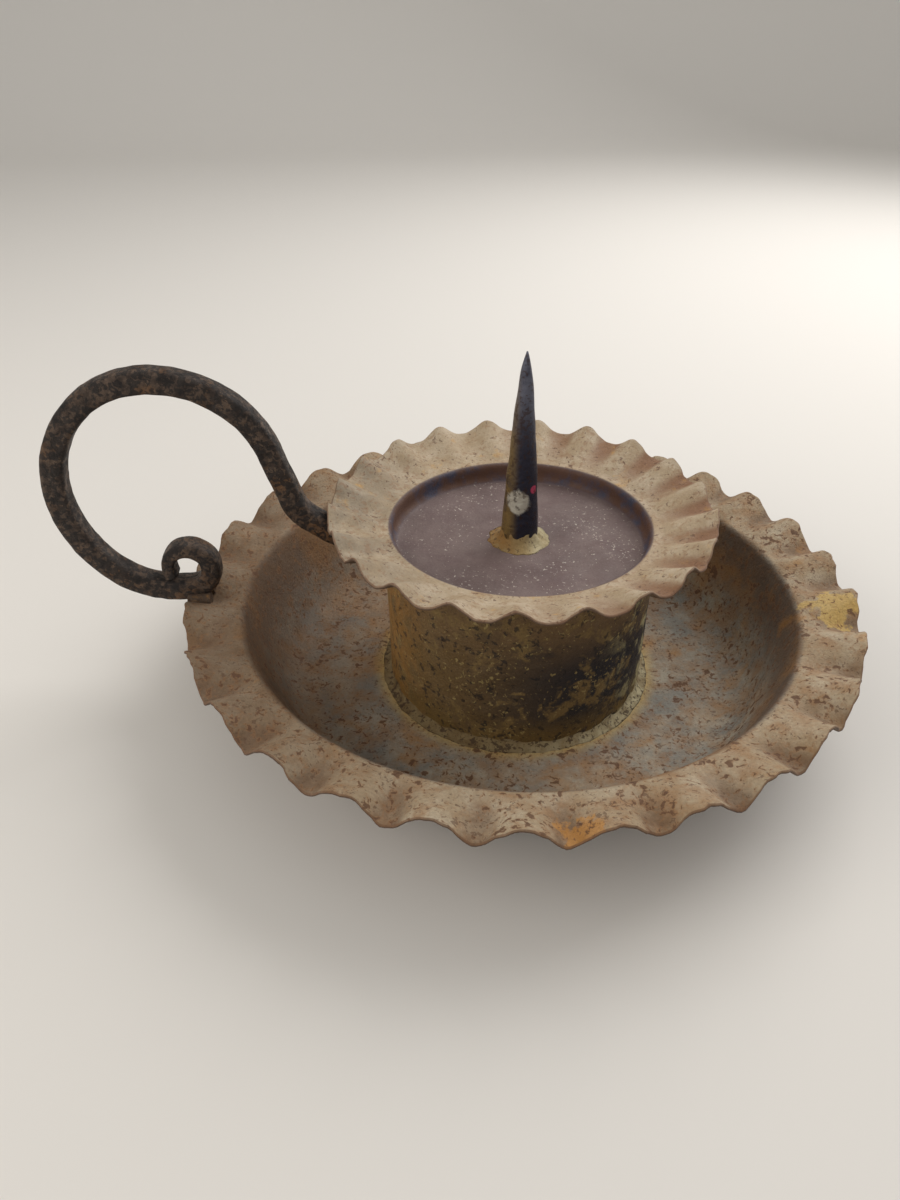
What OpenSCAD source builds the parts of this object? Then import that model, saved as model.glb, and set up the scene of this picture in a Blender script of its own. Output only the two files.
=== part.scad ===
// Wrought iron candle holder. A crimped drip tray carries a rolled drum, and a crimped
// candle plate with a shallow well sits on top of the drum and holds a forged pricket.
// A square bar handle rises from the drum, loops over and ends in a scroll on the tray's rim.
// Origin: centre of the tray's underside. +Z is up and the handle points along -X.

/* [Drip tray] */
// Radius of the crimped edge
tray_edge_r = 113; // [110:0.5:116]
// Radius of the bowl's mouth, where the flange begins
tray_mouth_r = 94.7; // [92:0.1:96]
// Radius at which the wall would meet the flat floor
tray_floor_r = 80; // [76:0.5:84]
// Height of the mouth above the floor
tray_depth = 32.5; // [30:0.5:33]
// Rise of the flange from mouth to edge
tray_flange_rise = 3.5; // [2.5:0.1:4.5]
// Thickness of the tray's sheet
tray_sheet = 1.2; // [0.8:0.1:1.6]
// Number of crimps round the tray
tray_flutes = 29; // [25:2:29]
// Height of a crimp above the mean edge
tray_flute_height = 3.4; // [2:0.1:3.6]

/* [Drum] */
// Outer radius of the rolled drum
drum_r = 45; // [44.5:0.1:45.5]
// Height of the drum above the tray's floor
drum_height = 58.2; // [56:0.1:60]
// Thickness of the drum's sheet
drum_sheet = 1.2; // [1:0.1:1.3]
// Width of the fillet that joins the drum to the tray
drum_fillet = 3.4; // [2:0.1:4.5]

/* [Candle plate] */
// Radius of the crimped edge
plate_edge_r = 63.3; // [61:0.1:65]
// Inner radius of the well that takes the candle's foot
plate_mouth_r = 42.4; // [41.5:0.1:42.5]
// Depth of the well
well_depth = 6.7; // [5:0.1:8]
// Rise of the flange from the drum's top to the edge
plate_flange_rise = 6.3; // [5:0.1:7]
// Thickness of the plate's sheet
plate_sheet = 1; // [0.8:0.1:1.1]
// Number of crimps round the plate
plate_flutes = 21; // [17:2:21]
// Height of a crimp above the mean edge
plate_flute_height = 2.2; // [1.5:0.1:2.6]

/* [Pricket] */
// Height of the spike above the well's floor
pricket_height = 64; // [50:1:80]
// Radius of the spike's foot
pricket_foot_r = 6; // [5:0.1:7]
// Radius of the blunt tip
pricket_tip_r = 0.3; // [0.2:0.1:0.5]
// Radius of the braze round the foot
braze_r = 10.4; // [9:0.1:12]

/* [Handle] */
// Side of the square bar
bar = 7.8; // [7:0.1:8]
// Thickness of the bar at the tip of the scroll
bar_tip = 4.4; // [4:0.1:5]
// Height of the bar above the tray's floor where it meets the drum
handle_foot_z = 51.7; // [51:0.1:52.2]

/* [Hidden] */
$fn = 96;

// Crimping: facets to a crimp, sharpness of the crest, and unevenness from crimp to crimp
flute_facets = 8;
crest_sharpness = 0.14;
flute_unevenness = 0.12;
// Drift of the hand made crimps round each edge, in degrees: constant, then size and phase of two waves
tray_drift = [0.4, 3.9, 160, 2.2, 25];
plate_drift = [-1.2, 2.3, -27, 0.6, 165];

// Tray section
tray_floor_fillet = 12;
tray_lip_r = 3.4;
tray_flange_rings = 4;

// Candle plate section
well_fillet = 2.6;
plate_lip_r = 1.6;
plate_seat_r = 46;
plate_flare_r = 5;
plate_flange_rings = 3;
plate_seat_z = tray_sheet + drum_height + plate_sheet;
well_floor_z = plate_seat_z - well_depth;

// Drum seam, on the side away from the handle's left
seam_angle = 90;
seam_gap = 0.8;
seam_bead_r = 1.7;
drum_top_z = tray_sheet + drum_height;

// Tack welds that hold the plate on the drum
tack_angles = [20, 140, 260];
tack_sweep = 9;
tack_leg = 2.6;

// Pricket: height of the straight foot, fullness of the taper, height of the braze
pricket_straight = 5;
pricket_fullness = 0.56;
pricket_rings = 14;
braze_height = 4.8;
braze_rings = 6;

// Handle: bends as a smith makes them, [radius, turn in degrees], or [length, 0] for a straight
handle_bends = [[23, 35], [12.5, 0], [14, 38], [17.5, 0], [32.5, -28], [35.5, -45], [33, -45],
    [37.5, -45], [40, -45], [28.5, -42], [4, 0], [10, -12], [8.1, -90], [7.2, -90], [6.6, -90], [2.6, 0]];
drum_clearance = 0.1;
bend_step = 6;
scroll_step = 14;
scroll_radius = 12;
taper_start = -190;
bar_chamfer = 1;

// Welds at the handle's two ends
foot_weld_r = 7.3;
foot_weld_top = drum_top_z - 0.2;
rim_bead_r = 2.4;
rim_bead_from = 104.5;
rim_bead_to = 112;
rim_bead_z = tray_sheet + 35;
rim_seat_facets = 8;
rim_seat_depth = 8;

function unit(v) = v / norm(v);
function right_normal(v) = [v.y, -v.x];

// Signed turn of a path at b, coming from a and going to c
function turn_at(a, b, c) =
    let (u = unit(b - a), v = unit(c - b))
    atan2(u.x * v.y - u.y * v.x, u * v);

// Points of the arc of radius r that rounds the corner b
function corner_arc(a, b, c, r, steps) =
    let (u = unit(b - a), t = turn_at(a, b, c), side = sign(t))
    let (start = b - u * r * tan(abs(t) / 2), n = -right_normal(u), centre = start + side * r * n)
    [for (i = [0 : steps]) let (w = t * i / steps)
        centre - side * r * [n.x * cos(w) - n.y * sin(w), n.x * sin(w) + n.y * cos(w)]];

// Points from a towards b, without a itself
function straight(a, b, steps) = [for (i = [1 : steps]) a + (b - a) * i / steps];

// The path moved square to itself by the sheet's thickness, to the outside of the dish
function outer_side(path, sheet) =
    [for (i = [0 : len(path) - 1])
        let (before = unit(path[max(i, 1)] - path[max(i, 1) - 1]))
        let (after = unit(path[min(i, len(path) - 2) + 1] - path[min(i, len(path) - 2)]))
        let (m = right_normal(before), n = right_normal(after))
        path[i] + sheet * (m + n) / (1 + m * n)];

// Drift of the crimps at an angle round the edge
function drift_at(a, drift) =
    drift[0] + drift[1] * sin(a + drift[2]) + drift[3] * sin(2 * a + drift[4]);

// Height of a crimp at facet j, from a flat start to the full height at the edge
function crimp(j, flutes, height, share) =
    let (phase = 360 * j / flute_facets, a = 360 * j / (flutes * flute_facets))
    let (uneven = 1 + flute_unevenness * sin(3 * a + 40) * sin(a / 2))
    height * uneven * share * (cos(phase) + crest_sharpness * cos(2 * phase));

// One ring of a dish: its points in the order of the angle
function dish_ring(p, count, per_fine, flutes, drift, height, share) =
    [for (i = [0 : count - 1])
        let (j = i * per_fine, a = 180 + 360 * j / (flutes * flute_facets), b = a + drift_at(a, drift))
        [p.x * cos(b), p.x * sin(b), p.y + crimp(j, flutes, height, share)]];

// Triangles of the band between two rings, seen from above, with the inner ring at s and the outer at t
function band(s, t, count) =
    [for (i = [0 : count - 1]) let (k = (i + 1) % count)
        each [[s + i, t + k, t + i], [s + i, s + k, t + k]]];

// The same where the outer ring has twice as many points
function widening_band(s, t, count) =
    [for (i = [0 : count - 1]) let (k = (i + 1) % count, m = 2 * i)
        each [[s + i, t + m + 1, t + m], [s + i, s + k, t + m + 1],
            [s + k, t + (m + 2) % (2 * count), t + m + 1]]];

function flipped(faces) = [for (f = faces) [f[2], f[1], f[0]]];

// A pressed dish of one sheet with a crimped flange. path is its upper side, and the rings
// from fine_from on carry the crimps, which grow from flute_r to the edge.
module fluted_dish(path, sheet, fine_from, flute_r, flutes, drift, height) {
    under = outer_side(path, sheet);
    rings = len(path);
    fine = flutes * flute_facets;
    coarse = fine / 2;
    edge_r = path[rings - 1].x;
    share = [for (p = path) max(0, (p.x - flute_r) / (edge_r - flute_r))];
    counts = [for (k = [0 : rings - 1]) k < fine_from ? coarse : fine];
    starts = [for (k = 0, s = 0; k < rings; s = s + counts[k], k = k + 1) s];
    total = starts[rings - 1] + fine;
    upper_points = [for (k = [0 : rings - 1])
        each dish_ring(path[k], counts[k], fine / counts[k], flutes, drift, height, share[k])];
    under_points = [for (k = [0 : rings - 1])
        each dish_ring(under[k], counts[k], fine / counts[k], flutes, drift, height, share[k])];
    upper_faces = [for (k = [0 : rings - 2])
        each (counts[k] == counts[k + 1]
            ? band(starts[k], starts[k + 1], counts[k])
            : widening_band(starts[k], starts[k + 1], counts[k]))];
    under_faces = [for (f = flipped(upper_faces)) f + [total, total, total]];
    edge = starts[rings - 1];
    edge_faces = flipped(band(edge, edge + total, fine));
    floor_faces = [[for (i = [coarse - 1 : -1 : 0]) i], [for (i = [0 : coarse - 1]) total + i]];
    polyhedron(concat(upper_points, under_points),
        concat(floor_faces, upper_faces, under_faces, flipped(edge_faces)), convexity = 6);
}

// A block under the crimped flange whose top is the flange itself, between two facets.
// It cuts a weld to the shape of the sheet that the weld lies on.
module flange_block(path, fine_from, flute_r, flutes, drift, height, first, last, depth) {
    rings = [for (k = [fine_from : len(path) - 1]) path[k]];
    columns = last - first + 1;
    edge_r = path[len(path) - 1].x;
    top = [for (p = rings) each [for (j = [first : last])
        let (a = 180 + 360 * j / (flutes * flute_facets), b = a + drift_at(a, drift))
        [p.x * cos(b), p.x * sin(b), p.y + crimp(j, flutes, height, (p.x - flute_r) / (edge_r - flute_r))]]];
    count = len(top);
    outer = count - columns;
    top_faces = [for (k = [0 : len(rings) - 2], i = [0 : columns - 2])
        let (s = k * columns + i, t = s + columns) each [[s, t + 1, t], [s, s + 1, t + 1]]];
    rim = concat([for (i = [0 : columns - 1]) i],
        [for (k = [1 : len(rings) - 1]) k * columns + columns - 1],
        [for (i = [columns - 2 : -1 : 0]) outer + i],
        [for (k = [len(rings) - 2 : -1 : 1]) k * columns]);
    walls = [for (i = [0 : len(rim) - 1]) let (a = rim[i], b = rim[(i + 1) % len(rim)])
        each [[b, a, a + count], [b, a + count, b + count]]];
    polyhedron(concat(top, [for (p = top) p - [0, 0, depth]]),
        concat(top_faces, [for (f = flipped(top_faces)) f + [count, count, count]], walls), convexity = 4);
}

// Upper side of the drip tray, from the edge of its flat floor to the crimped edge
tray_corner = [tray_floor_r, tray_sheet];
tray_mouth = [tray_mouth_r - 1, tray_sheet + tray_depth];
tray_edge = [tray_edge_r, tray_sheet + tray_depth + tray_flange_rise];
tray_lip = corner_arc(tray_corner, tray_mouth, tray_edge, tray_lip_r, 2);
tray_path = concat(
    corner_arc([0, tray_sheet], tray_corner, tray_mouth, tray_floor_fillet, 4),
    tray_lip,
    straight(tray_lip[2], tray_edge, tray_flange_rings));
tray_fine_from = len(tray_path) - tray_flange_rings;

// Upper side of the candle plate, from the edge of the well's floor to the crimped edge
plate_corner = [plate_mouth_r, well_floor_z];
plate_mouth = [plate_mouth_r, plate_seat_z];
plate_seat = [plate_seat_r, plate_seat_z];
plate_edge = [plate_edge_r, plate_seat_z + plate_flange_rise];
plate_flare = corner_arc(plate_mouth, plate_seat, plate_edge, plate_flare_r, 2);
plate_path = concat(
    corner_arc([0, well_floor_z], plate_corner, plate_mouth, well_fillet, 3),
    corner_arc(plate_corner, plate_mouth, plate_seat, plate_lip_r, 2),
    plate_flare,
    straight(plate_flare[2], plate_edge, plate_flange_rings));
plate_fine_from = len(plate_path) - plate_flange_rings;

// Stations of the bar's centre line, [distance from the axis, height, heading]
function bend_steps(b) = b[1] == 0 ? 1 : ceil(abs(b[1]) / (b[0] < scroll_radius ? scroll_step : bend_step));
function bend_move(b, heading, share) =
    b[1] == 0
        ? b[0] * share * [cos(heading), sin(heading)]
        : let (w = heading + b[1] * share)
            sign(b[1]) * b[0] * [sin(w) - sin(heading), cos(heading) - cos(w)];
function walk(bends, i, p, heading) =
    i == len(bends) ? [] :
        let (b = bends[i], n = bend_steps(b), q = p + bend_move(b, heading, 1))
        concat([for (k = [1 : n]) let (m = p + bend_move(b, heading, k / n)) [m.x, m.y, heading + b[1] * k / n]],
            walk(bends, i + 1, q, heading + b[1]));
handle_start = [drum_r + drum_clearance, tray_sheet + handle_foot_z];
handle_end_turn = [for (b = handle_bends) b[1]] * [for (b = handle_bends) 1];
handle_line = concat([[handle_start.x, handle_start.y, 0]], walk(handle_bends, 0, handle_start, 0));

// Thickness of the bar in the plane of the bends, which thins towards the scroll's tip
function bar_thickness(heading) =
    heading > taper_start ? bar
        : bar + (bar_tip - bar) * (taper_start - heading) / (taper_start - handle_end_turn);

// Section of the bar at a station: a square with its edges knocked off
function bar_ring(s) =
    let (h = bar_thickness(s[2]) / 2, w = bar / 2, c = bar_chamfer, side = [-sin(s[2]), cos(s[2])])
    [for (q = [[h, w - c], [h - c, w], [c - h, w], [-h, w - c], [-h, c - w], [c - h, -w], [h - c, -w], [h, c - w]])
        [-s.x - side.x * q[0], -q[1], s.y + side.y * q[0]]];

// The bar between two stations of the line
module bar_stretch(line) {
    sides = 8;
    last = sides * (len(line) - 1);
    points = [for (s = line) each bar_ring(s)];
    walls = [for (k = [0 : len(line) - 2]) each band(sides * k, sides * (k + 1), sides)];
    polyhedron(points,
        concat([[for (i = [sides - 1 : -1 : 0]) i], [for (i = [0 : sides - 1]) last + i]], walls),
        convexity = 8);
}

module drip_tray() {
    color([0.72, 0.64, 0.54])
        fluted_dish(tray_path, tray_sheet, tray_fine_from, tray_mouth_r, tray_flutes,
            tray_drift, -tray_flute_height);
}

module candle_plate() {
    color([0.78, 0.71, 0.62])
        fluted_dish(plate_path, plate_sheet, plate_fine_from, plate_seat_r, plate_flutes,
            plate_drift, plate_flute_height);
}

// The drum's sheet as a closed ring
module drum_ring() {
    translate([0, 0, tray_sheet])
        difference() {
            cylinder(h = drum_height, r = drum_r);
            translate([0, 0, -1])
                cylinder(h = drum_height + 2, r = drum_r - drum_sheet);
        }
}

// The gap between the sheet's two edges
module seam_slot() {
    rotate([0, 0, seam_angle])
        translate([drum_r - 2 * drum_sheet, -seam_gap / 2, 0])
            cube([4 * drum_sheet, seam_gap, drum_top_z + 1]);
}

module drum() {
    color([0.13, 0.13, 0.17])
        difference() {
            drum_ring();
            seam_slot();
        }
}

module drum_seam_weld() {
    bead_from = tray_sheet + drum_fillet + 0.2;
    bead_to = drum_top_z - 1;
    color([0.36, 0.3, 0.22]) {
        intersection() {
            drum_ring();
            seam_slot();
        }
        difference() {
            rotate([0, 0, seam_angle])
                translate([drum_r, 0, bead_from])
                    cylinder(h = bead_to - bead_from, r = seam_bead_r, $fn = 32);
            cylinder(h = drum_top_z, r = drum_r);
        }
    }
}

// Hollow fillet between an upright of radius r and the floor it stands on
function fillet_section(r, width, height, steps) =
    concat([[r, 0]],
        [for (i = [0 : steps]) let (a = 90 * i / steps)
            [r + width * (1 - sin(a)), height * (1 - cos(a))]]);

module drum_base_weld() {
    color([0.62, 0.52, 0.34])
        translate([0, 0, tray_sheet])
            rotate_extrude()
                polygon(fillet_section(drum_r, drum_fillet, drum_fillet, 6));
}

module plate_tack_welds() {
    color([0.36, 0.3, 0.22])
        for (a = tack_angles)
            rotate([0, 0, a])
                translate([0, 0, drum_top_z])
                    rotate_extrude(angle = tack_sweep)
                        polygon([[drum_r, 0], [drum_r + tack_leg, 0], [drum_r, -tack_leg]]);
}

module pricket() {
    taper = pricket_height - pricket_straight;
    color([0.2, 0.2, 0.24])
        translate([0, 0, well_floor_z])
            rotate_extrude()
                polygon(concat([[0, 0], [pricket_foot_r, 0]],
                    [for (i = [0 : pricket_rings]) let (t = i / pricket_rings)
                        [max(pricket_tip_r, pricket_foot_r * pow(1 - t, pricket_fullness)),
                            pricket_straight + taper * t]],
                    [[0, pricket_height]]));
}

module pricket_braze() {
    color([0.74, 0.62, 0.34])
        translate([0, 0, well_floor_z])
            rotate_extrude()
                polygon(fillet_section(pricket_foot_r, braze_r - pricket_foot_r, braze_height, braze_rings));
}

module handle() {
    color([0.23, 0.18, 0.15])
        bar_stretch(handle_line);
}

module handle_drum_weld() {
    color([0.36, 0.3, 0.22])
        difference() {
            intersection() {
                translate([-drum_r, 0, tray_sheet + handle_foot_z])
                    sphere(r = foot_weld_r);
                translate([-drum_r - foot_weld_r - 1, -foot_weld_r - 1, tray_sheet])
                    cube([2 * foot_weld_r + 2, 2 * foot_weld_r + 2, foot_weld_top - tray_sheet]);
            }
            cylinder(h = drum_top_z, r = drum_r);
            bar_stretch([for (i = [0 : 4]) handle_line[i]]);
        }
}

module handle_rim_weld() {
    color([0.36, 0.3, 0.22])
        difference() {
            for (side = [-1, 1])
                translate([-rim_bead_to, side * bar / 2, rim_bead_z])
                    rotate([0, 90, 0])
                        cylinder(h = rim_bead_to - rim_bead_from, r = rim_bead_r, $fn = 32);
            flange_block(tray_path, tray_fine_from, tray_mouth_r, tray_flutes, tray_drift,
                -tray_flute_height, -rim_seat_facets, rim_seat_facets, rim_seat_depth);
            bar_stretch([for (s = handle_line) if (s[2] < -150 && s[2] > -215) s]);
        }
}

drip_tray();
drum();
drum_seam_weld();
drum_base_weld();
candle_plate();
plate_tack_welds();
pricket();
pricket_braze();
handle();
handle_drum_weld();
handle_rim_weld();
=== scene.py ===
import math
import bpy
from mathutils import Matrix, Vector, noise


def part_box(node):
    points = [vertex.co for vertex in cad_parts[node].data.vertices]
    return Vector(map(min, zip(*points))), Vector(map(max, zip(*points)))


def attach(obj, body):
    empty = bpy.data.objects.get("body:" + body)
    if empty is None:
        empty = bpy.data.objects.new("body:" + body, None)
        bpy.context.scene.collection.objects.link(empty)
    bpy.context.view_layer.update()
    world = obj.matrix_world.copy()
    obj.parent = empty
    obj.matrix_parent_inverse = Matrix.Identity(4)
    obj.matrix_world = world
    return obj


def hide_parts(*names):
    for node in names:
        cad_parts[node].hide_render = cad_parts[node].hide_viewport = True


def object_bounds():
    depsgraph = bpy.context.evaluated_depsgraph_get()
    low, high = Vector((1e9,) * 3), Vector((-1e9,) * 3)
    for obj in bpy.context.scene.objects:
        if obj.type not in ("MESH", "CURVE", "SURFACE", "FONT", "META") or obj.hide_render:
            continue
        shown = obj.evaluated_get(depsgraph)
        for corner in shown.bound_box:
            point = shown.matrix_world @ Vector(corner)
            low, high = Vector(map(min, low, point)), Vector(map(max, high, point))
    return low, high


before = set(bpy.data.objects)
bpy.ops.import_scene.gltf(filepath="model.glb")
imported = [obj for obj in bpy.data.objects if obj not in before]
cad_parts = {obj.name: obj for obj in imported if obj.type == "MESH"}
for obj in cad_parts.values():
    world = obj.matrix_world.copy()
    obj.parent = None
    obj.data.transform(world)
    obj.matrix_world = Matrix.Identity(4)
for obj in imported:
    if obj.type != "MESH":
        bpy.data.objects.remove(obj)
cad_low, cad_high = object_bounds()


# Camera
# It stands where the photograph was taken, a third of a metre off and looking down on the holder.
camera_place = Vector((-0.0352, -0.2504, 0.2060))
camera_heading = math.radians(2.69)
camera_tilt = math.radians(35.15)
camera_roll = math.radians(-0.53)
photo_long_side = 1200
photo_focal = 874.6
sensor_width = 36

look = Vector((math.sin(camera_heading) * math.cos(camera_tilt),
               math.cos(camera_heading) * math.cos(camera_tilt), -math.sin(camera_tilt)))
level_right = look.cross(Vector((0, 0, 1))).normalized()
level_up = level_right.cross(look)
camera_right = level_right * math.cos(camera_roll) + level_up * math.sin(camera_roll)
camera_up = level_up * math.cos(camera_roll) - level_right * math.sin(camera_roll)
camera_data = bpy.data.cameras.new("camera")
camera_data.sensor_width = sensor_width
camera_data.lens = photo_focal / photo_long_side * sensor_width
camera_data.clip_start = 0.01
camera = bpy.data.objects.new("camera", camera_data)
bpy.context.scene.collection.objects.link(camera)
camera.matrix_world = (Matrix.Translation(camera_place)
                       @ Matrix((camera_right, camera_up, -look)).transposed().to_4x4())
bpy.context.scene.camera = camera


# Drip tray
# A dish pressed from one sheet of iron and painted once, now mottled with rust. Its flange was
# crimped by hand with pliers, so each flute differs a little from the next.
MM = 0.001
tray_sheet = 1.2 * MM
tray_floor_start_r = 40 * MM
tray_floor_corner = 80 * MM
tray_corner_round = 12 * MM
tray_mouth_r = 93.7 * MM
tray_lip_round = 3.4 * MM
tray_flute_start_r = 94.7 * MM
tray_edge_r = 112.8 * MM
tray_mouth_z = 33.7 * MM
tray_edge_z = 37.2 * MM
tray_flutes = 29
tray_facets = 20
tray_crimp = -3.4 * MM
tray_drift = (0.4, 3.9, 160, 2.2, 25)
tray_dents = 0.22 * MM
tray_ragged = 0.9 * MM
crest_sharpness = 0.14
crimp_unevenness = 0.12
broad_dents_per_m = 90
fine_dents_per_m = 210
edge_nicks_per_m = 330


def corner_arc(a, b, c, r, steps):
    """Points of the arc of radius r that rounds the corner b of the path a, b, c."""
    u, v = (b - a).normalized(), (c - b).normalized()
    turn = math.atan2(u.x * v.y - u.y * v.x, u.dot(v))
    side = math.copysign(1, turn)
    n = Vector((-u.y, u.x))
    centre = b - u * r * math.tan(abs(turn) / 2) + n * side * r
    return [centre - (Matrix.Rotation(turn * i / steps, 2) @ n) * side * r for i in range(steps + 1)]


def straight(a, b, steps):
    """Points from a to b, without a itself."""
    return [a.lerp(b, i / steps) for i in range(1, steps + 1)]


def crimp_drift(degrees, drift):
    """How far the hand work has wandered from even spacing, in degrees."""
    return (drift[0] + drift[1] * math.sin(math.radians(degrees + drift[2]))
            + drift[3] * math.sin(math.radians(2 * degrees + drift[4])))


def sheet_normals(path):
    """The side of each point of a section that faces out of the dish."""
    out = []
    for i in range(len(path)):
        along = (path[min(i + 1, len(path) - 1)] - path[max(i - 1, 0)]).normalized()
        out.append(Vector((along.y, -along.x)))
    return out


def pressed_dish(name, path, sheet, flute_r, flutes, drift, crimp, facets, dents, ragged):
    """A closed sheet of even thickness turned round Z, with crimps that grow from flute_r to its edge."""
    count = flutes * facets
    edge_r = path[-1].x
    normals = sheet_normals(path)
    mesh = bpy.data.meshes.new(name)
    verts, flute_values, rim_values, side_values = [], [], [], []
    for side in (0, 1):
        for k, p in enumerate(path):
            q = p + normals[k] * sheet * side
            share = max(0.0, (p.x - flute_r) / (edge_r - flute_r))
            for j in range(count):
                even = 180 + 360 * j / count
                angle = math.radians(even + crimp_drift(even, drift))
                phase = 2 * math.pi * j / facets
                local = j * 360 / count
                uneven = (1 + crimp_unevenness * math.sin(math.radians(3 * local + 40))
                          * math.sin(math.radians(local / 2)))
                wave = (math.cos(phase) + crest_sharpness * math.cos(2 * phase)) * share
                spot = Vector((p.x * math.cos(angle), p.x * math.sin(angle), p.y))
                bump = (noise.noise(spot * broad_dents_per_m) * 0.6
                        + noise.noise(spot * fine_dents_per_m) * 0.4)
                nick = (noise.noise(spot * edge_nicks_per_m) - 0.7) * ragged
                rag = nick * max(0.0, share - 0.9) * 10
                r = q.x + rag
                z = q.y + crimp * uneven * wave + bump * dents * (0.35 + share)
                verts.append((r * math.cos(angle), r * math.sin(angle), max(z, cad_low.z)))
                flute_values.append(math.copysign(1, crimp) * wave)
                rim_values.append(share)
                side_values.append(float(side))
    rings = len(path)
    faces = []
    half = rings * count
    for k in range(rings - 1):
        for j in range(count):
            a, b = k * count + j, k * count + (j + 1) % count
            faces.append((a, a + count, b + count, b))
            faces.append((half + b, half + b + count, half + a + count, half + a))
    last = (rings - 1) * count
    for j in range(count):
        a, b = last + j, last + (j + 1) % count
        faces.append((a, half + a, half + b, b))
    faces.append(tuple(range(count)))
    faces.append(tuple(half + j for j in reversed(range(count))))
    mesh.from_pydata(verts, [], faces)
    for label, values in (("flute", flute_values), ("rim", rim_values), ("under", side_values)):
        mesh.attributes.new(label, "FLOAT", "POINT").data.foreach_set("value", values)
    mesh.shade_smooth()
    piece = bpy.data.objects.new(name, mesh)
    bpy.context.scene.collection.objects.link(piece)
    edge_bevel = piece.modifiers.new("edge", "BEVEL")
    edge_bevel.width = sheet * 0.3
    edge_bevel.segments = 2
    edge_bevel.limit_method = "ANGLE"
    edge_bevel.angle_limit = math.radians(60)
    return piece


tray_corner = Vector((tray_floor_corner, tray_sheet))
tray_mouth = Vector((tray_mouth_r, tray_mouth_z))
tray_edge = Vector((tray_edge_r, tray_edge_z))
tray_floor_start = Vector((tray_floor_start_r, tray_sheet))
tray_fillet = corner_arc(tray_floor_start, tray_corner, tray_mouth, tray_corner_round, 8)
tray_lip = corner_arc(tray_corner, tray_mouth, tray_edge, tray_lip_round, 5)
tray_path = ([tray_floor_start] + straight(tray_floor_start, tray_fillet[0], 9) + tray_fillet[1:]
             + straight(tray_fillet[-1], tray_lip[0], 6) + tray_lip[1:]
             + straight(tray_lip[-1], tray_edge, 12))
drip_tray = pressed_dish("drip_tray_sheet", tray_path, tray_sheet, tray_flute_start_r, tray_flutes,
                         tray_drift, tray_crimp, tray_facets, tray_dents, tray_ragged)


def add(tree, kind, inputs=None, **settings):
    """A node with its settings, whose inputs are either values or the sockets that feed them."""
    made = tree.nodes.new(kind)
    for label, value in settings.items():
        setattr(made, label, value)
    for label, value in (inputs or {}).items():
        if isinstance(value, bpy.types.NodeSocket):
            tree.links.new(value, made.inputs[label])
        else:
            made.inputs[label].default_value = value
    return made


def shade(r, g, b):
    """A colour given as it looks on the screen, 0 to 255, in linear light."""
    return tuple(c / 3294.6 if c <= 10 else ((c / 255 + 0.055) / 1.055) ** 2.4 for c in (r, g, b)) + (1,)


def start_group(name, inputs, outputs):
    """A node group with named sockets, and its group input and output nodes."""
    tree = bpy.data.node_groups.new(name, "ShaderNodeTree")
    for label, kind, value in inputs:
        socket = tree.interface.new_socket(name=label, in_out="INPUT", socket_type=kind)
        socket.default_value = value
    for label, kind in outputs:
        tree.interface.new_socket(name=label, in_out="OUTPUT", socket_type=kind)
    return tree, tree.nodes.new("NodeGroupInput"), tree.nodes.new("NodeGroupOutput")


def math_node(tree, operation, a, b=0.0):
    """One sum on two values or sockets."""
    return add(tree, "ShaderNodeMath", {0: a, 1: b}, operation=operation).outputs[0]


FLOAT = "NodeSocketFloat"
VECTOR = "NodeSocketVector"

# Blotches: soft irregular islands of one size, for stains, worn paint and uneven colour
blotches, blotch_in, blotch_out = start_group(
    "blotches",
    [("Size mm", FLOAT, 10.0), ("Cover", FLOAT, 0.5), ("Softness", FLOAT, 0.1), ("Seed", FLOAT, 0.0)],
    [("Mask", FLOAT)])
blotch_place = add(blotches, "ShaderNodeTexCoord").outputs["Object"]
blotch_scale = math_node(blotches, "DIVIDE", 1000.0, blotch_in.outputs["Size mm"])
blotch_noise = add(blotches, "ShaderNodeTexNoise", {
    "Vector": blotch_place, "Scale": blotch_scale, "W": blotch_in.outputs["Seed"],
    "Detail": 7.0, "Roughness": 0.62, "Distortion": 0.35}, noise_dimensions="4D").outputs["Fac"]
blotch_edge = math_node(blotches, "SUBTRACT", 0.76, math_node(
    blotches, "MULTIPLY", blotch_in.outputs["Cover"], 0.52))
blotch_mask = add(blotches, "ShaderNodeMapRange", {
    "Value": blotch_noise,
    "From Min": math_node(blotches, "SUBTRACT", blotch_edge, blotch_in.outputs["Softness"]),
    "From Max": math_node(blotches, "ADD", blotch_edge, blotch_in.outputs["Softness"])},
    interpolation_type="SMOOTHSTEP").outputs["Result"]
blotches.links.new(blotch_mask, blotch_out.inputs["Mask"])

# Specks: small crisp rust pits in loose clusters, each with a soft stain round it
specks, speck_in, speck_out = start_group(
    "rust_specks",
    [("Size mm", FLOAT, 2.0), ("Cover", FLOAT, 0.3), ("Seed", FLOAT, 0.0)],
    [("Pit", FLOAT), ("Stain", FLOAT)])
speck_place = add(specks, "ShaderNodeTexCoord").outputs["Object"]
speck_noise = add(specks, "ShaderNodeTexNoise", {
    "Vector": speck_place,
    "Scale": math_node(specks, "DIVIDE", 1000.0, speck_in.outputs["Size mm"]),
    "W": speck_in.outputs["Seed"], "Detail": 3.0, "Roughness": 0.55, "Distortion": 0.6},
    noise_dimensions="4D").outputs["Fac"]
speck_cluster = add(specks, "ShaderNodeTexNoise", {
    "Vector": speck_place, "Scale": 55.0, "W": speck_in.outputs["Seed"], "Detail": 2.0},
    noise_dimensions="4D").outputs["Fac"]
speck_level = math_node(specks, "ADD", speck_noise, math_node(
    specks, "MULTIPLY", math_node(specks, "SUBTRACT", speck_cluster, 0.5), 0.25))
speck_edge = math_node(specks, "SUBTRACT", 0.70, math_node(
    specks, "MULTIPLY", speck_in.outputs["Cover"], 0.28))
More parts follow.
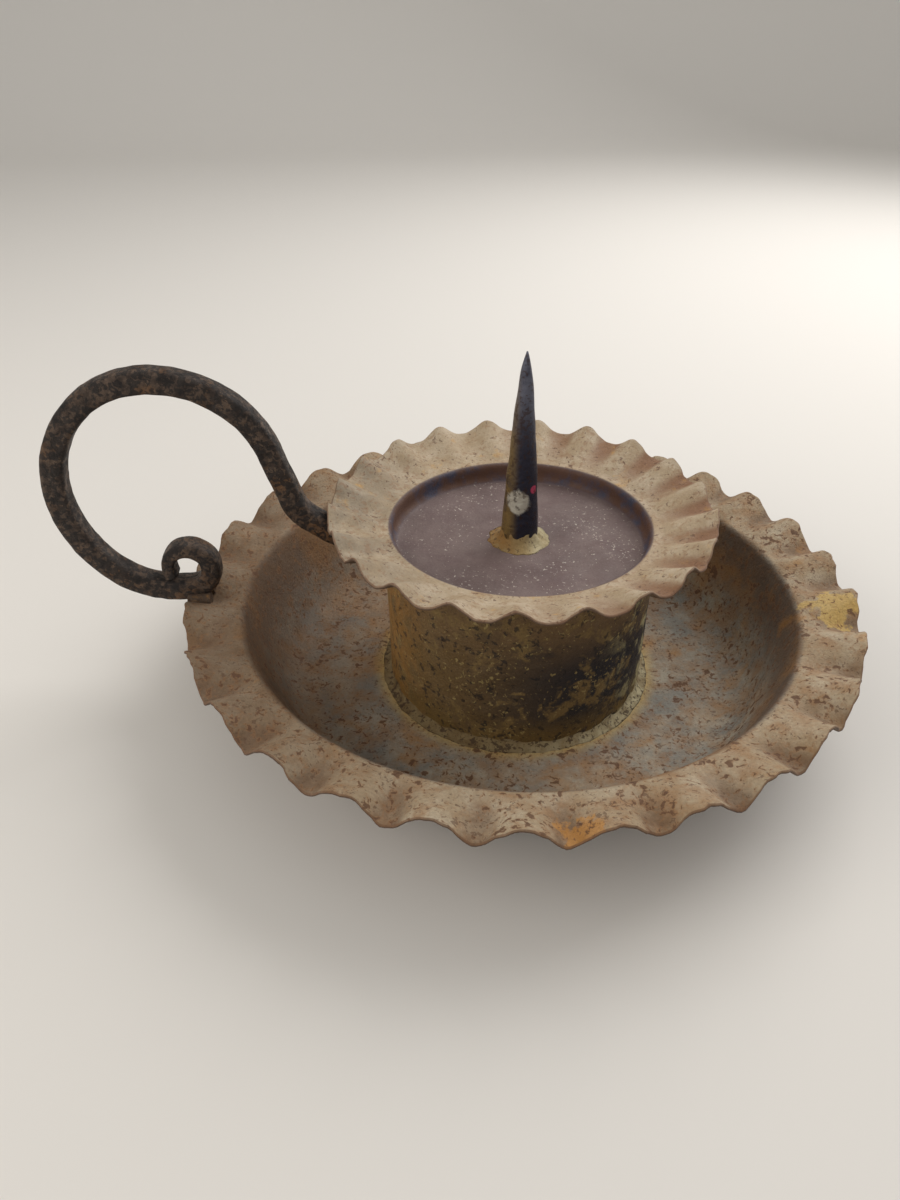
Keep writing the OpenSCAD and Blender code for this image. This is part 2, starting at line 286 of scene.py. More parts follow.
speck_pit = add(specks, "ShaderNodeMapRange", {
    "Value": speck_level, "From Min": speck_edge,
    "From Max": math_node(specks, "ADD", speck_edge, 0.035)}).outputs["Result"]
speck_stain = add(specks, "ShaderNodeMapRange", {
    "Value": speck_level, "From Min": math_node(specks, "SUBTRACT", speck_edge, 0.07),
    "From Max": math_node(specks, "ADD", speck_edge, 0.02)}).outputs["Result"]
specks.links.new(speck_pit, speck_out.inputs["Pit"])
specks.links.new(speck_stain, speck_out.inputs["Stain"])

# Patch: a ragged stain round one place on the object
patch, patch_in, patch_out = start_group(
    "ragged_patch",
    [("Centre", VECTOR, (0, 0, 0)), ("Radius mm", FLOAT, 10.0), ("Ragged", FLOAT, 0.5),
        ("Seed", FLOAT, 0.0)],
    [("Mask", FLOAT)])
patch_place = add(patch, "ShaderNodeTexCoord").outputs["Object"]
patch_far = add(patch, "ShaderNodeVectorMath", {0: patch_place, 1: patch_in.outputs["Centre"]},
                operation="DISTANCE").outputs["Value"]
patch_share = math_node(patch, "DIVIDE", math_node(patch, "MULTIPLY", patch_far, 1000.0),
                        patch_in.outputs["Radius mm"])
patch_noise = add(patch, "ShaderNodeTexNoise", {
    "Vector": patch_place, "Scale": 190.0, "W": patch_in.outputs["Seed"], "Detail": 5.0,
    "Roughness": 0.6}, noise_dimensions="4D").outputs["Fac"]
patch_value = math_node(patch, "ADD", patch_share, math_node(
    patch, "MULTIPLY", math_node(patch, "SUBTRACT", patch_noise, 0.5),
    math_node(patch, "MULTIPLY", patch_in.outputs["Ragged"], 4.0)))
patch_mask = add(patch, "ShaderNodeMapRange", {
    "Value": patch_value, "From Min": 1.05, "From Max": 0.75},
    interpolation_type="SMOOTHSTEP").outputs["Result"]
patch.links.new(patch_mask, patch_out.inputs["Mask"])

# Grain: the fine unevenness of old paint and scale, as a height for the bump
grain, grain_in, grain_out = start_group(
    "surface_grain",
    [("Size mm", FLOAT, 1.0), ("Coarse", FLOAT, 0.5)],
    [("Height", FLOAT), ("Shade", FLOAT)])
grain_place = add(grain, "ShaderNodeTexCoord").outputs["Object"]
grain_scale = math_node(grain, "DIVIDE", 1000.0, grain_in.outputs["Size mm"])
grain_fine = add(grain, "ShaderNodeTexNoise", {
    "Vector": grain_place, "Scale": grain_scale, "Detail": 6.0, "Roughness": 0.7}).outputs["Fac"]
grain_broad = add(grain, "ShaderNodeTexNoise", {
    "Vector": grain_place, "Scale": math_node(grain, "DIVIDE", grain_scale, 6.0),
    "Detail": 3.0}).outputs["Fac"]
grain_sum = math_node(grain, "ADD", grain_fine, math_node(
    grain, "MULTIPLY", grain_broad, grain_in.outputs["Coarse"]))
grain.links.new(grain_sum, grain_out.inputs["Height"])
grain.links.new(grain_fine, grain_out.inputs["Shade"])


class Finish:
    """A material whose colour is laid on in coats, each over the last where its mask says."""

    def __init__(self, name, ground, roughness, metallic=0.0):
        self.material = bpy.data.materials.new(name)
        self.material.use_nodes = True
        self.tree = self.material.node_tree
        self.tree.nodes.clear()
        self.shader = add(self.tree, "ShaderNodeBsdfPrincipled", {"Metallic": metallic})
        output = add(self.tree, "ShaderNodeOutputMaterial")
        self.tree.links.new(self.shader.outputs["BSDF"], output.inputs["Surface"])
        self.colour = ground
        self.rough = roughness

    def mask(self, group, output="Mask", **values):
        """The named output of a group placed in this material."""
        made = add(self.tree, "ShaderNodeGroup", node_tree=group)
        for label, value in values.items():
            made.inputs[label.replace("_", " ")].default_value = value
        return made.outputs[output]

    def attribute(self, label, low, high):
        """A value stored on the mesh, spread from low to high over 0 to 1."""
        value = add(self.tree, "ShaderNodeAttribute", attribute_name=label).outputs["Fac"]
        return add(self.tree, "ShaderNodeMapRange", {
            "Value": value, "From Min": low, "From Max": high},
            interpolation_type="SMOOTHSTEP").outputs["Result"]

    def place(self, axis, low, high):
        """Position along one axis, in millimetres, spread from low to high over 0 to 1."""
        place = add(self.tree, "ShaderNodeTexCoord").outputs["Object"]
        part = add(self.tree, "ShaderNodeSeparateXYZ", {"Vector": place}).outputs[axis]
        return add(self.tree, "ShaderNodeMapRange", {
            "Value": part, "From Min": low * MM, "From Max": high * MM},
            interpolation_type="SMOOTHSTEP").outputs["Result"]

    def radius(self, low, high):
        """Distance from the axis, in millimetres, spread from low to high over 0 to 1."""
        place = add(self.tree, "ShaderNodeTexCoord").outputs["Object"]
        flat = add(self.tree, "ShaderNodeVectorMath", {0: place, 1: (1, 1, 0)},
                   operation="MULTIPLY").outputs["Vector"]
        length = add(self.tree, "ShaderNodeVectorMath", {0: flat}, operation="LENGTH").outputs["Value"]
        return add(self.tree, "ShaderNodeMapRange", {
            "Value": length, "From Min": low * MM, "From Max": high * MM},
            interpolation_type="SMOOTHSTEP").outputs["Result"]

    def both(self, a, b):
        """Where two masks meet."""
        return math_node(self.tree, "MULTIPLY", a, b)

    def coat(self, colour, mask, strength=1.0):
        """Lays a colour over what is there."""
        factor = math_node(self.tree, "MULTIPLY", mask, strength)
        self.colour = add(self.tree, "ShaderNodeMix", {"Factor": factor, "A": self.colour, "B": colour},
                          data_type="RGBA").outputs["Result"]

    def vary(self, mask, low, high):
        """Makes the colour darker or lighter over the surface."""
        value = add(self.tree, "ShaderNodeMapRange", {
            "Value": mask, "From Min": 0.3, "From Max": 0.7, "To Min": low,
                "To Max": high}).outputs["Result"]
        self.colour = add(self.tree, "ShaderNodeHueSaturation",
                          {"Value": value, "Color": self.colour}).outputs["Color"]

    def dress(self, piece, bump, bump_height, rough_mask=None, rough_low=0.5, rough_high=0.9):
        """Wires the finish up and gives it to a piece."""
        shader = self.shader
        self.tree.links.new(self.colour, shader.inputs["Base Color"])
        if rough_mask is None:
            shader.inputs["Roughness"].default_value = self.rough
        else:
            level = add(self.tree, "ShaderNodeMapRange", {
                "Value": rough_mask, "To Min": rough_low, "To Max": rough_high}).outputs["Result"]
            self.tree.links.new(level, shader.inputs["Roughness"])
        relief = add(self.tree, "ShaderNodeBump", {
            "Height": bump, "Strength": 1.0, "Distance": bump_height}).outputs["Normal"]
        self.tree.links.new(relief, shader.inputs["Normal"])
        piece.data.materials.clear()
        piece.data.materials.append(self.material)


def on_tray(degrees, radius_mm, height_mm):
    """A place on the tray, from its angle round the axis."""
    return (radius_mm * MM * math.cos(math.radians(degrees)),
            radius_mm * MM * math.sin(math.radians(degrees)), height_mm * MM)


iron_brown = shade(92, 62, 42)
deep_brown = shade(58, 38, 28)
ochre = shade(176, 122, 52)
pale_ochre = shade(206, 172, 96)

tray_finish = Finish("tray_sheet_paint", shade(166, 144, 114), 0.8)
tray_flange = tray_finish.radius(93.0, 95.5)
tray_inside = math_node(tray_finish.tree, "SUBTRACT", 1.0, tray_flange)
tray_finish.coat(shade(134, 132, 124), tray_inside)
tray_finish.coat(shade(196, 182, 158), tray_finish.mask(blotches, Size_mm=14, Cover=0.45, Softness=0.16,
    Seed=3.0),
                 0.6)
tray_finish.coat(shade(150, 108, 66), tray_finish.mask(blotches, Size_mm=7, Cover=0.42, Softness=0.12,
    Seed=8.0),
                 0.6)
tray_finish.coat(shade(104, 76, 52), tray_finish.both(
    tray_finish.attribute("flute", 0.15, -0.75),
        tray_finish.mask(blotches, Size_mm=9, Cover=0.7, Softness=0.2)),
    0.75)
tray_finish.coat(shade(92, 70, 52), tray_finish.both(
    tray_inside, tray_finish.place("Z", 8, 26)), 0.85)
tray_finish.coat(ochre, tray_finish.both(
    tray_inside, tray_finish.mask(blotches, Size_mm=30, Cover=0.42, Softness=0.1, Seed=5.0)), 0.45)
tray_finish.coat(ochre, tray_finish.mask(blotches, Size_mm=18, Cover=0.25, Softness=0.07, Seed=12.0),
    0.55)
tray_finish.coat(pale_ochre, tray_finish.mask(patch, Centre=on_tray(-12, 105, 36), Radius_mm=8,
    Ragged=0.9),
                 0.7)
tray_finish.coat(shade(196, 134, 48), tray_finish.mask(patch, Centre=on_tray(-88, 110, 35), Radius_mm=6,
                                                       Ragged=0.9), 0.6)
tray_finish.coat(shade(104, 80, 58), tray_finish.both(
    tray_finish.place("X", -30, -100), tray_finish.mask(blotches, Size_mm=16, Cover=0.85,
        Softness=0.25)), 0.7)
tray_finish.coat(pale_ochre, tray_finish.both(
    tray_inside, tray_finish.radius(53, 46.5)), 0.7)
tray_finish.coat(shade(150, 104, 60), tray_finish.mask(specks, "Stain", Size_mm=2.3, Cover=0.34), 0.5)
tray_finish.coat(iron_brown, tray_finish.mask(specks, "Pit", Size_mm=2.3, Cover=0.34), 0.8)
tray_finish.coat(iron_brown, tray_finish.mask(specks, "Pit", Size_mm=1.2, Cover=0.36, Seed=7.0), 0.6)
tray_finish.coat(shade(120, 86, 60), tray_finish.attribute("rim", 0.975, 1.0), 0.7)
# Painted shade: the underside of the tray's sheet is darkened.
tray_finish.coat(shade(84, 64, 50), tray_finish.attribute("under", 0.4, 0.6), 0.8)
tray_finish.vary(tray_finish.mask(grain, "Shade", Size_mm=0.9), 0.82, 1.16)
tray_finish.dress(drip_tray, tray_finish.mask(grain, "Height", Size_mm=0.9, Coarse=1.2), 0.5 * MM,
                  tray_finish.mask(blotches, Size_mm=6, Cover=0.5, Softness=0.3), 0.62, 0.9)
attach(drip_tray, "root")
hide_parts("drip_tray")


# Drum
# A strip of sheet rolled into a ring and welded at the back. Its black paint has worn and flaked
# to brown and ochre rust, most of all near the foot. The ochre-tan on its left side is partly rust
# and partly painted warm light, and the pale patches at its right edge are partly chipped paint
# and partly a painted highlight.
drum_r = 45 * MM
drum_thick = 1.2 * MM
drum_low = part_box("drum")[0].z
drum_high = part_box("drum")[1].z


def turned(name, outline, count, dent, closed=True, size=70.0):
    """A ring or a solid of revolution from its section, with small dents."""
    mesh = bpy.data.meshes.new(name)
    verts, faces = [], []
    rows = len(outline)
    for p in outline:
        for j in range(count):
            angle = 2 * math.pi * j / count
            spot = Vector((p.x * math.cos(angle), p.x * math.sin(angle), p.y))
            push = noise.noise(spot * size) * dent
            r = max(p.x + push, 0.0)
            verts.append((r * math.cos(angle), r * math.sin(angle), p.y))
    spans = rows if closed else rows - 1
    for k in range(spans):
        for j in range(count):
            a, b = k * count + j, k * count + (j + 1) % count
            c, d = ((k + 1) % rows) * count + (j + 1) % count, ((k + 1) % rows) * count + j
            faces.append((a, b, c, d))
    if not closed:
        faces.append(tuple(reversed(range(count))))
        faces.append(tuple((rows - 1) * count + j for j in range(count)))
    mesh.from_pydata(verts, [], faces)
    mesh.shade_smooth()
    piece = bpy.data.objects.new(name, mesh)
    bpy.context.scene.collection.objects.link(piece)
    return piece


drum_foot, drum_top = Vector((drum_r, drum_low)), Vector((drum_r, drum_high))
drum_wall = Vector((drum_thick, 0))
drum_section = ([drum_foot] + straight(drum_foot, drum_top, 40)
                + [drum_top - drum_wall] + straight(drum_top - drum_wall, drum_foot - drum_wall, 4))
drum = turned("drum_sheet", drum_section, 240, 0.25 * MM)
drum_finish = Finish("drum_black_paint", shade(30, 31, 40), 0.5)
drum_left_rust_and_warm_light = drum_finish.place("X", 20, -44)
drum_right_chips_and_highlight = drum_finish.place("X", 20, 42)
drum_upper = drum_finish.place("Z", 28, 50)
drum_lower = drum_finish.place("Z", 16, 4)
# Ochre-tan patches on the drum's left side: partly rust, partly painted warm light from the left.
drum_finish.coat(shade(128, 102, 62), drum_finish.both(
    drum_left_rust_and_warm_light, drum_finish.mask(blotches, Size_mm=16, Cover=0.85, Softness=0.12, Seed=2.0)), 0.95)
drum_finish.coat(shade(120, 94, 60), drum_finish.both(
    drum_upper, drum_finish.mask(blotches, Size_mm=20, Cover=0.7, Softness=0.06, Seed=4.0)), 0.9)
drum_finish.coat(shade(134, 110, 66), drum_finish.mask(blotches, Size_mm=11, Cover=0.38, Softness=0.04,
    Seed=9.0),
                 0.85)
drum_finish.coat(shade(120, 96, 50), drum_finish.both(
    drum_lower, drum_finish.mask(blotches, Size_mm=6, Cover=0.62, Softness=0.06, Seed=6.0)), 0.8)
# Pale patches along the drum's right edge: partly chipped paint, partly a painted highlight.
drum_finish.coat(shade(188, 178, 132), drum_finish.both(
    drum_right_chips_and_highlight, drum_finish.mask(blotches, Size_mm=9, Cover=0.42, Softness=0.04, Seed=15.0)), 0.8)
# Ochre on the drum's far left edge: partly rust, partly painted warm light from the left.
drum_finish.coat(ochre, drum_finish.both(
    drum_finish.place("X", -30, -45), drum_finish.mask(blotches, Size_mm=5, Cover=0.6, Softness=0.1)),
        0.5)
drum_finish.coat(shade(20, 20, 26), drum_finish.mask(specks, "Pit", Size_mm=2.2, Cover=0.4, Seed=3.0),
    0.7)
drum_finish.coat(shade(168, 148, 96), drum_finish.mask(specks, "Pit", Size_mm=1.4, Cover=0.25,
    Seed=21.0), 0.8)
drum_finish.vary(drum_finish.mask(grain, "Shade", Size_mm=0.8), 0.75, 1.25)
drum_finish.dress(drum, drum_finish.mask(grain, "Height", Size_mm=0.8, Coarse=1.5), 0.4 * MM,
                  drum_finish.mask(blotches, Size_mm=11, Cover=0.5, Softness=0.15, Seed=9.0), 0.36, 0.8)
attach(drum, "root")
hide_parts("drum")


# Drum fillet
# The foot of the drum is joined to the tray by a weld fillet all round. Dust, old wax and rust have
# settled in its hollow and turned it pale; its right side is paler still, partly dust and partly
# painted light.
fillet_wide = 3.4 * MM


def fillet_outline(radius, wide, high, floor_z, steps):
    """Hollow fillet between an upright and the floor that it stands on."""
    points = [Vector((radius, floor_z))]
    for i in range(steps + 1):
        a = math.pi / 2 * i / steps
        points.append(Vector((radius + wide * (1 - math.sin(a)), floor_z + high * (1 - math.cos(a)))))
    return points


drum_fillet = turned("drum_base_fillet", fillet_outline(drum_r - 0.2 * MM, fillet_wide, fillet_wide,
    tray_sheet, 8),
                     360, 0.5 * MM, size=260.0)
fillet_finish = Finish("weld_fillet_dust", shade(146, 126, 88), 0.85)
fillet_finish.coat(shade(110, 84, 48), fillet_finish.mask(blotches, Size_mm=5, Cover=0.45,
    Softness=0.15), 0.8)
# Paler patches on the fillet's right side: partly dust, partly painted light from the right.
fillet_finish.coat(shade(206, 196, 160), fillet_finish.both(
    fillet_finish.place("X", -20, 40), fillet_finish.mask(blotches, Size_mm=4, Cover=0.6, Softness=0.2,
        Seed=4.0)),
    0.8)
fillet_finish.coat(deep_brown, fillet_finish.mask(specks, "Pit", Size_mm=1.4, Cover=0.6, Seed=5.0), 0.7)
fillet_finish.dress(drum_fillet, fillet_finish.mask(grain, "Height", Size_mm=0.7, Coarse=2.0), 0.7 * MM)
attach(drum_fillet, "root")
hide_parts("drum_base_weld")


# Weld beads
# The drum's seam, the tacks under the plate and the handle's two welds are short beads of arc weld,
# left as they cooled and browned by rust. They keep the shape of the frame's own bodies.
bead_finish = Finish("weld_bead_scale", shade(78, 60, 44), 0.7)
bead_finish.coat(ochre, bead_finish.mask(blotches, Size_mm=3, Cover=0.35, Softness=0.1), 0.6)
bead_finish.coat(deep_brown, bead_finish.mask(specks, "Pit", Size_mm=1.2, Cover=0.6), 0.7)
for bead in ("drum_seam_weld", "plate_tack_welds", "handle_drum_weld", "handle_rim_weld"):
    bead_finish.dress(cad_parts[bead], bead_finish.mask(grain, "Height", Size_mm=1.2, Coarse=2.0),
        0.8 * MM)


# Candle plate
# A second pressed dish: its shallow well sits inside the drum and takes the candle's foot, and its
# crimped flange lies on the drum's top. Candle dust has greyed the well and rust has crept into the crimps.
plate_sheet = 1.0 * MM
plate_seat_z = drum_high + plate_sheet
well_floor_z = plate_seat_z - 6.7 * MM
plate_well_r = 42.4 * MM
plate_well_round = 2.6 * MM
plate_lip_round = 1.6 * MM
plate_flare_round = 5 * MM
plate_flute_start_r = 45 * MM
plate_flutes = 21
plate_facets = 22
plate_crimp = 2.2 * MM
plate_drift = (-1.2, 2.3, -27, 0.6, 165)
plate_dents = 0.12 * MM
plate_ragged = 0.6 * MM
plate_corner = Vector((plate_well_r, well_floor_z))
plate_mouth = Vector((plate_well_r, plate_seat_z))
plate_seat = Vector((46 * MM, plate_seat_z))
plate_edge = Vector((63.2 * MM, plate_seat_z + 6.3 * MM))
well_start = Vector((4 * MM, well_floor_z))
well_fillet = corner_arc(well_start, plate_corner, plate_mouth, plate_well_round, 5)
plate_lip = corner_arc(plate_corner, plate_mouth, plate_seat, plate_lip_round, 4)
plate_flare = corner_arc(plate_mouth, plate_seat, plate_edge, plate_flare_round, 4)
plate_path = ([well_start] + straight(well_start, well_fillet[0], 12) + well_fillet[1:]
              + straight(well_fillet[-1], plate_lip[0], 2) + plate_lip[1:]
              + straight(plate_lip[-1], plate_flare[0], 2) + plate_flare[1:]
              + straight(plate_flare[-1], plate_edge, 12))
candle_plate = pressed_dish("candle_plate_sheet", plate_path, plate_sheet, plate_flute_start_r,
    plate_flutes,
                            plate_drift, plate_crimp, plate_facets, plate_dents, plate_ragged)
plate_finish = Finish("plate_sheet_paint", shade(172, 150, 120), 0.75)
plate_flange = plate_finish.radius(42.6, 44.0)
plate_well = math_node(plate_finish.tree, "SUBTRACT", 1.0, plate_flange)
plate_right = plate_finish.place("X", -20, 40)
plate_left = plate_finish.place("X", -20, -60)
plate_finish.coat(shade(204, 188, 164), plate_finish.mask(blotches, Size_mm=9, Cover=0.5, Softness=0.14,
    Seed=2.0),
                  0.6)
plate_finish.coat(shade(122, 78, 46), plate_finish.both(
    plate_finish.attribute("flute", 0.2, -0.6),
    plate_finish.both(plate_right, plate_finish.mask(blotches, Size_mm=8, Cover=0.85, Softness=0.2))),
        0.85)
plate_finish.coat(shade(128, 116, 98), plate_finish.both(
    plate_left, plate_finish.mask(blotches, Size_mm=10, Cover=0.6, Softness=0.2, Seed=5.0)), 0.75)
plate_finish.coat(shade(196, 150, 78), plate_finish.mask(blotches, Size_mm=9, Cover=0.22, Softness=0.06,
    Seed=9.0),
                  0.6)
plate_finish.coat(shade(148, 112, 80), plate_finish.mask(specks, "Stain", Size_mm=1.8, Cover=0.34,
    Seed=2.0), 0.5)
plate_finish.coat(shade(92, 60, 42), plate_finish.mask(specks, "Pit", Size_mm=1.5, Cover=0.32,
    Seed=2.0), 0.7)
plate_finish.coat(shade(108, 88, 86), plate_well)
plate_finish.coat(shade(136, 120, 114), plate_finish.both(
    plate_well, plate_finish.mask(blotches, Size_mm=14, Cover=0.5, Softness=0.25, Seed=7.0)), 0.6)
plate_finish.coat(shade(80, 62, 60), plate_finish.both(
    plate_well, plate_finish.mask(blotches, Size_mm=20, Cover=0.35, Softness=0.2, Seed=14.0)), 0.5)
plate_finish.coat(shade(206, 196, 184), plate_finish.both(
    plate_well, plate_finish.mask(specks, "Pit", Size_mm=0.9, Cover=0.22, Seed=11.0)), 0.7)
well_wall = plate_finish.both(plate_well, plate_finish.radius(40.3, 41.8))
plate_finish.coat(shade(52, 60, 84), well_wall, 0.85)
plate_finish.coat(shade(96, 64, 44), plate_finish.both(
    well_wall, plate_finish.mask(blotches, Size_mm=10, Cover=0.6, Softness=0.1, Seed=3.0)), 0.9)
plate_finish.coat(shade(122, 88, 64), plate_finish.attribute("rim", 0.97, 1.0), 0.7)
# Painted shade: the underside of the plate's sheet is darkened.
plate_finish.coat(shade(92, 70, 54), plate_finish.attribute("under", 0.4, 0.6), 0.8)
plate_finish.vary(plate_finish.mask(grain, "Shade", Size_mm=0.7), 0.86, 1.12)
plate_finish.dress(candle_plate, plate_finish.mask(grain, "Height", Size_mm=0.7, Coarse=1.0), 0.3 * MM,
                   plate_finish.mask(blotches, Size_mm=7, Cover=0.5, Softness=0.3, Seed=2.0), 0.5, 0.85)
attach(candle_plate, "root")
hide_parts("candle_plate")


# Pricket
# A round spike drawn out under the hammer and brazed to the well's floor. It is nearly black, rubbed
# bright near the tip by candles, with one chip of paint gone and a bead of old red wax.
spike_high = 64 * MM
spike_foot_r = 6 * MM
spike_straight = 5 * MM
spike_rows = 70


def spike_radius(up):
    """Radius of the spike at a height above the well's floor."""
    t = max(0.0, (up - spike_straight) / (spike_high - spike_straight))
    return max(0.3 * MM, spike_foot_r * (1 - t) ** 0.56)


spike_outline = [Vector((spike_radius(spike_high * i / spike_rows),
    well_floor_z + spike_high * i / spike_rows))
                 for i in range(spike_rows + 1)]
pricket = turned("pricket_spike", spike_outline, 64, 0.22 * MM, closed=False, size=160.0)
spike_finish = Finish("pricket_forged_steel", shade(44, 44, 58), 0.4, 0.65)
spike_finish.coat(shade(132, 134, 148), spike_finish.both(
    spike_finish.place("Z", 84, 116), spike_finish.mask(blotches, Size_mm=5, Cover=0.6, Softness=0.2)),
        0.6)
# Ochre patches on the spike's left side: painted warm light from the left.
spike_finish.coat(shade(150, 122, 66), spike_finish.both(
    spike_finish.place("X", -1, -5), spike_finish.mask(blotches, Size_mm=7, Cover=0.72, Softness=0.15)),
        0.75)
spike_finish.coat(shade(200, 196, 182), spike_finish.mask(
    patch, Centre=(-1.5 * MM, -5.2 * MM, 70 * MM), Radius_mm=4.4, Ragged=0.35, Seed=2.0), 0.9)
spike_finish.coat(shade(196, 70, 104), spike_finish.mask(
    patch, Centre=(3.6 * MM, -3.6 * MM, 74 * MM), Radius_mm=1.5, Ragged=0.2, Seed=4.0), 0.9)
spike_finish.coat(deep_brown, spike_finish.mask(specks, "Pit", Size_mm=1.6, Cover=0.5, Seed=8.0), 0.6)
spike_finish.dress(pricket, spike_finish.mask(grain, "Height", Size_mm=1.6, Coarse=1.5), 0.5 * MM,
                   spike_finish.mask(blotches, Size_mm=5, Cover=0.5, Softness=0.2), 0.28, 0.6)
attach(pricket, "root")
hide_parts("pricket")


# Braze
# Brass run round the spike's foot to fix it to the well's floor. It has crusted over to ochre.
# The pale yellow on its right is partly crust and partly painted light, and the deeper ochre on its
# left is partly crust and partly painted warm light.
braze_foot_r = 5.8 * MM
braze_wide = 4.6 * MM
braze_high = 4.8 * MM
braze_outline = fillet_outline(braze_foot_r, braze_wide, braze_high, well_floor_z, 10)
braze = turned("pricket_braze_fillet", braze_outline, 120, 0.9 * MM, size=380.0)
braze_finish = Finish("braze_ochre_crust", shade(160, 136, 92), 0.85)
# Pale yellow patches on the braze's right side: partly crust, partly painted light from the right.
braze_finish.coat(shade(204, 192, 156), braze_finish.both(
    braze_finish.place("X", 0, 6), braze_finish.mask(blotches, Size_mm=4, Cover=0.7, Softness=0.2)), 0.85)
# Deeper ochre patches on the braze's left side: partly crust, partly painted warm light from the left.
braze_finish.coat(shade(142, 96, 34), braze_finish.both(
    braze_finish.place("X", 1, -6), braze_finish.mask(blotches, Size_mm=3, Cover=0.6, Softness=0.15)),
        0.7)
braze_finish.coat(deep_brown, braze_finish.mask(specks, "Pit", Size_mm=1.2, Cover=0.4, Seed=9.0), 0.6)
braze_finish.dress(braze, braze_finish.mask(grain, "Height", Size_mm=0.8, Coarse=2.0), 0.8 * MM)
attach(braze, "root")
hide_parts("pricket_braze")


# Handle
# One length of square bar, drawn down at its end, bent cold over a former into a loop and rolled into
# a scroll. The hammer has left its faces uneven and pitted under a dark brown scale.
bar_side = 7.8 * MM
bar_tip = 4.4 * MM
bends = [(23, 35), (12.5, 0), (14, 38), (17.5, 0), (32.5, -28), (35.5, -45), (33, -45), (37.5, -45),
         (40, -45), (28.5, -42), (4, 0), (10, -12), (8.1, -90), (7.2, -90), (6.6, -90), (2.6, 0)]
bar_start = Vector((45.1 * MM, 52.9 * MM))
edge_knock = 0.13
bar_step = 0.9 * MM
taper_from = -190
taper_to = sum(turn for _, turn in bends)


def bent_line(start, bends, step):
    """Stations of the centre line: distance from the axis, height and heading in degrees."""
    stations, spot, heading = [(start, 0.0)], start, 0.0
    for size, turn in bends:
        length = size * MM * (1 if turn == 0 else abs(math.radians(turn)))
        count = max(2, round(length / step))
        for _ in range(count):
            heading_mid = math.radians(heading + turn / count / 2)
            chord = length / count
            if turn:
                half = math.radians(abs(turn) / count / 2)
                chord = 2 * size * MM * math.sin(half)
            spot = spot + Vector((math.cos(heading_mid), math.sin(heading_mid))) * chord
            heading += turn / count
            stations.append((spot, heading))
    return stations


def bar_section(half_thick, half_wide, knock, per_side):
    """A square with its edges rounded off, as pairs of in-plane and across-plane distances."""
    points = []
    for side in range(4):
        for i in range(per_side):
            s = -1 + 2 * i / per_side
            x, y = ((1, s), (-s, 1), (-1, -s), (s, -1))[side]
            pull = 1 - knock * max(0.0, (abs(x) * abs(y)) ** 3)
            points.append((x * half_thick * pull, y * half_wide * pull))
    return points


line = bent_line(bar_start, bends, bar_step)
section_points = 24
hammer_mark = 0.20 * MM
scale_pit = 0.12 * MM
mark_sink = 0.18 * MM
bar_mesh = bpy.data.meshes.new("handle_bar")
bar_verts, bar_faces = [], []
for spot, heading in line:
    draw = 0.0 if heading > taper_from else (taper_from - heading) / (taper_from - taper_to)
    thick = (bar_side + (bar_tip - bar_side) * draw) / 2
    across = Vector((-math.sin(math.radians(heading)), math.cos(math.radians(heading))))
    for h, w in bar_section(thick, bar_side / 2, edge_knock, section_points // 4):
        centre = Vector((-spot.x, 0, spot.y))
        p = Vector((-spot.x - across.x * h, w, spot.y + across.y * h))
        dent = noise.noise(p * 190) * hammer_mark + noise.noise(p * 420) * scale_pit - mark_sink
        bar_verts.append(p + (p - centre).normalized() * dent)
for k in range(len(line) - 1):
    for j in range(section_points):
        a, b = k * section_points + j, k * section_points + (j + 1) % section_points
        bar_faces.append((a, b, b + section_points, a + section_points))
bar_faces.append(tuple(reversed(range(section_points))))
bar_faces.append(tuple((len(line) - 1) * section_points + j for j in range(section_points)))
bar_mesh.from_pydata(bar_verts, [], bar_faces)
bar_mesh.shade_smooth()
handle = bpy.data.objects.new("handle_bar", bar_mesh)
bpy.context.scene.collection.objects.link(handle)
bar_finish = Finish("forged_bar_scale", shade(88, 70, 56), 0.6, 0.2)
bar_finish.coat(shade(36, 27, 24), bar_finish.mask(blotches, Size_mm=4, Cover=0.5, Softness=0.12), 0.85)
bar_finish.coat(shade(112, 92, 76), bar_finish.mask(blotches, Size_mm=3, Cover=0.3, Softness=0.08,
    Seed=4.0), 0.6)
bar_finish.coat(shade(124, 84, 44), bar_finish.mask(blotches, Size_mm=9, Cover=0.3, Softness=0.1,
    Seed=9.0), 0.6)
bar_finish.coat(shade(22, 17, 16), bar_finish.mask(specks, "Pit", Size_mm=1.8, Cover=0.8, Seed=1.0), 0.8)
bar_finish.vary(bar_finish.mask(grain, "Shade", Size_mm=1.0), 0.7, 1.3)
bar_finish.dress(handle, bar_finish.mask(grain, "Height", Size_mm=2.2, Coarse=1.5), 1.0 * MM,
                 bar_finish.mask(blotches, Size_mm=4, Cover=0.5, Softness=0.2), 0.42, 0.75)
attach(handle, "root")
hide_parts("handle")


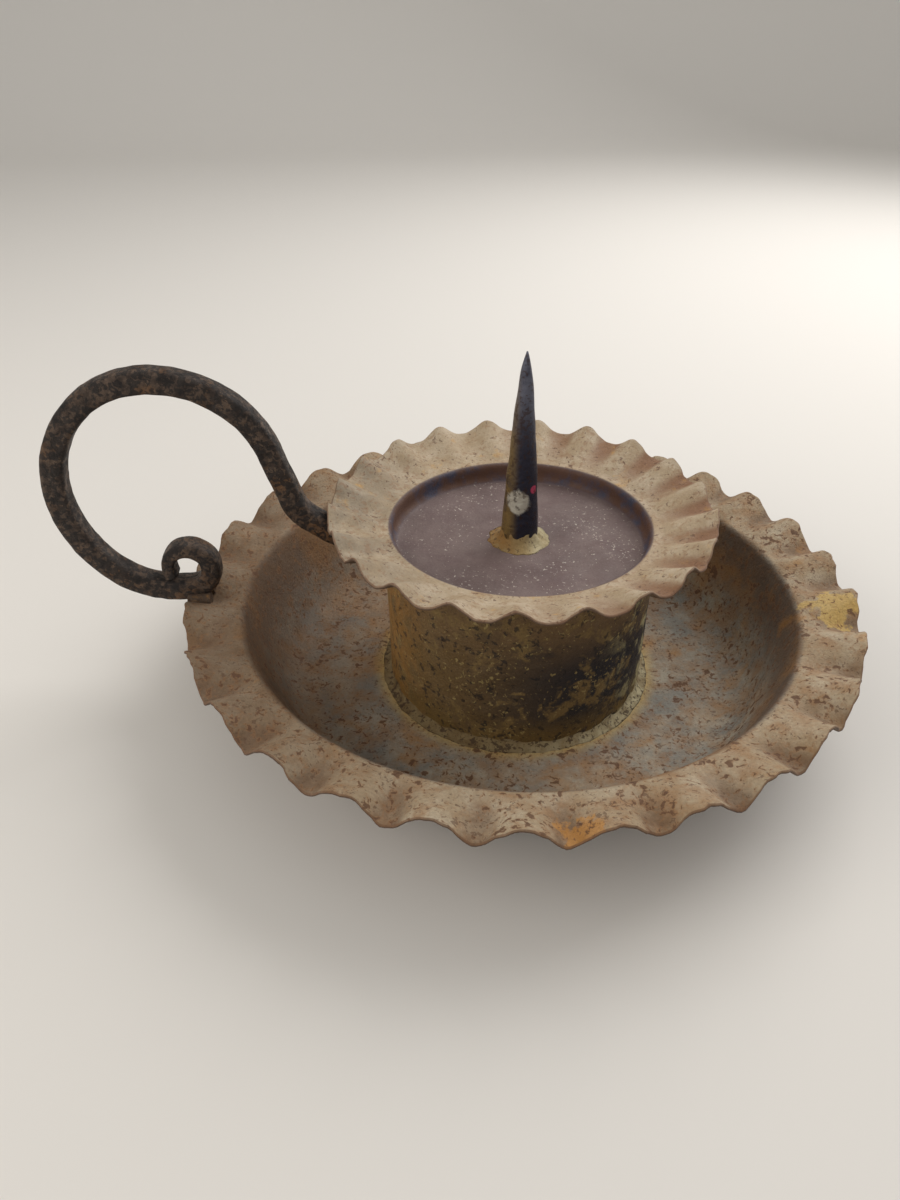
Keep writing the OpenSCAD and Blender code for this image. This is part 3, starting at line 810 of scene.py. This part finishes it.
# Studio
# A pale sweep behind and under the holder, a soft window-like lamp from the right and behind, and a
# weaker one from the left.
sweep_mesh = bpy.data.meshes.new("floor_sweep")
sweep_side = 3.0
sweep_front = -2.5
sweep_back = 1.2
sweep_bend = 0.5
sweep_high = 2.4
profile = [(sweep_front, 0.0), (sweep_back, 0.0)]
profile += [(sweep_back + sweep_bend * math.sin(math.radians(a)),
    sweep_bend * (1 - math.cos(math.radians(a))))
            for a in range(10, 91, 10)]
profile.append((sweep_back + sweep_bend, sweep_high))
sweep_verts = [(x, y, z) for y, z in profile for x in (-sweep_side, sweep_side)]
sweep_faces = [(2 * i, 2 * i + 1, 2 * i + 3, 2 * i + 2) for i in range(len(profile) - 1)]
sweep_mesh.from_pydata(sweep_verts, [], sweep_faces)
sweep_mesh.shade_smooth()
floor = bpy.data.objects.new("floor_sweep", sweep_mesh)
bpy.context.scene.collection.objects.link(floor)
floor_paper = bpy.data.materials.new("floor_paper")
floor_paper.use_nodes = True
paper_shader = floor_paper.node_tree.nodes["Principled BSDF"]
paper_shader.inputs["Base Color"].default_value = shade(226, 222, 216)
paper_shader.inputs["Roughness"].default_value = 0.95
sweep_mesh.materials.append(floor_paper)

world = bpy.data.worlds.new("studio")
world.use_nodes = True
world.node_tree.nodes["Background"].inputs["Color"].default_value = (1.0, 0.99, 0.97, 1)
world.node_tree.nodes["Background"].inputs["Strength"].default_value = 0.5
bpy.context.scene.world = world


def soft_lamp(name, place, target, size, power, colour):
    """A square soft lamp aimed at a place."""
    data = bpy.data.lights.new(name, "AREA")
    data.size = size
    data.energy = power
    data.color = colour
    lamp = bpy.data.objects.new(name, data)
    lamp.location = place
    lamp.rotation_euler = (Vector(target) - Vector(place)).to_track_quat("-Z", "Y").to_euler()
    bpy.context.scene.collection.objects.link(lamp)


lamp_target = (0, 0, 0.03)
soft_lamp("key_lamp", (0.55, 0.45, 0.65), lamp_target, 0.8, 6.5, (1.0, 0.99, 0.98))
soft_lamp("fill_lamp", (-0.7, -0.3, 0.5), lamp_target, 0.6, 2.5, (1.0, 0.95, 0.88))
bpy.context.scene.view_settings.view_transform = "Standard"
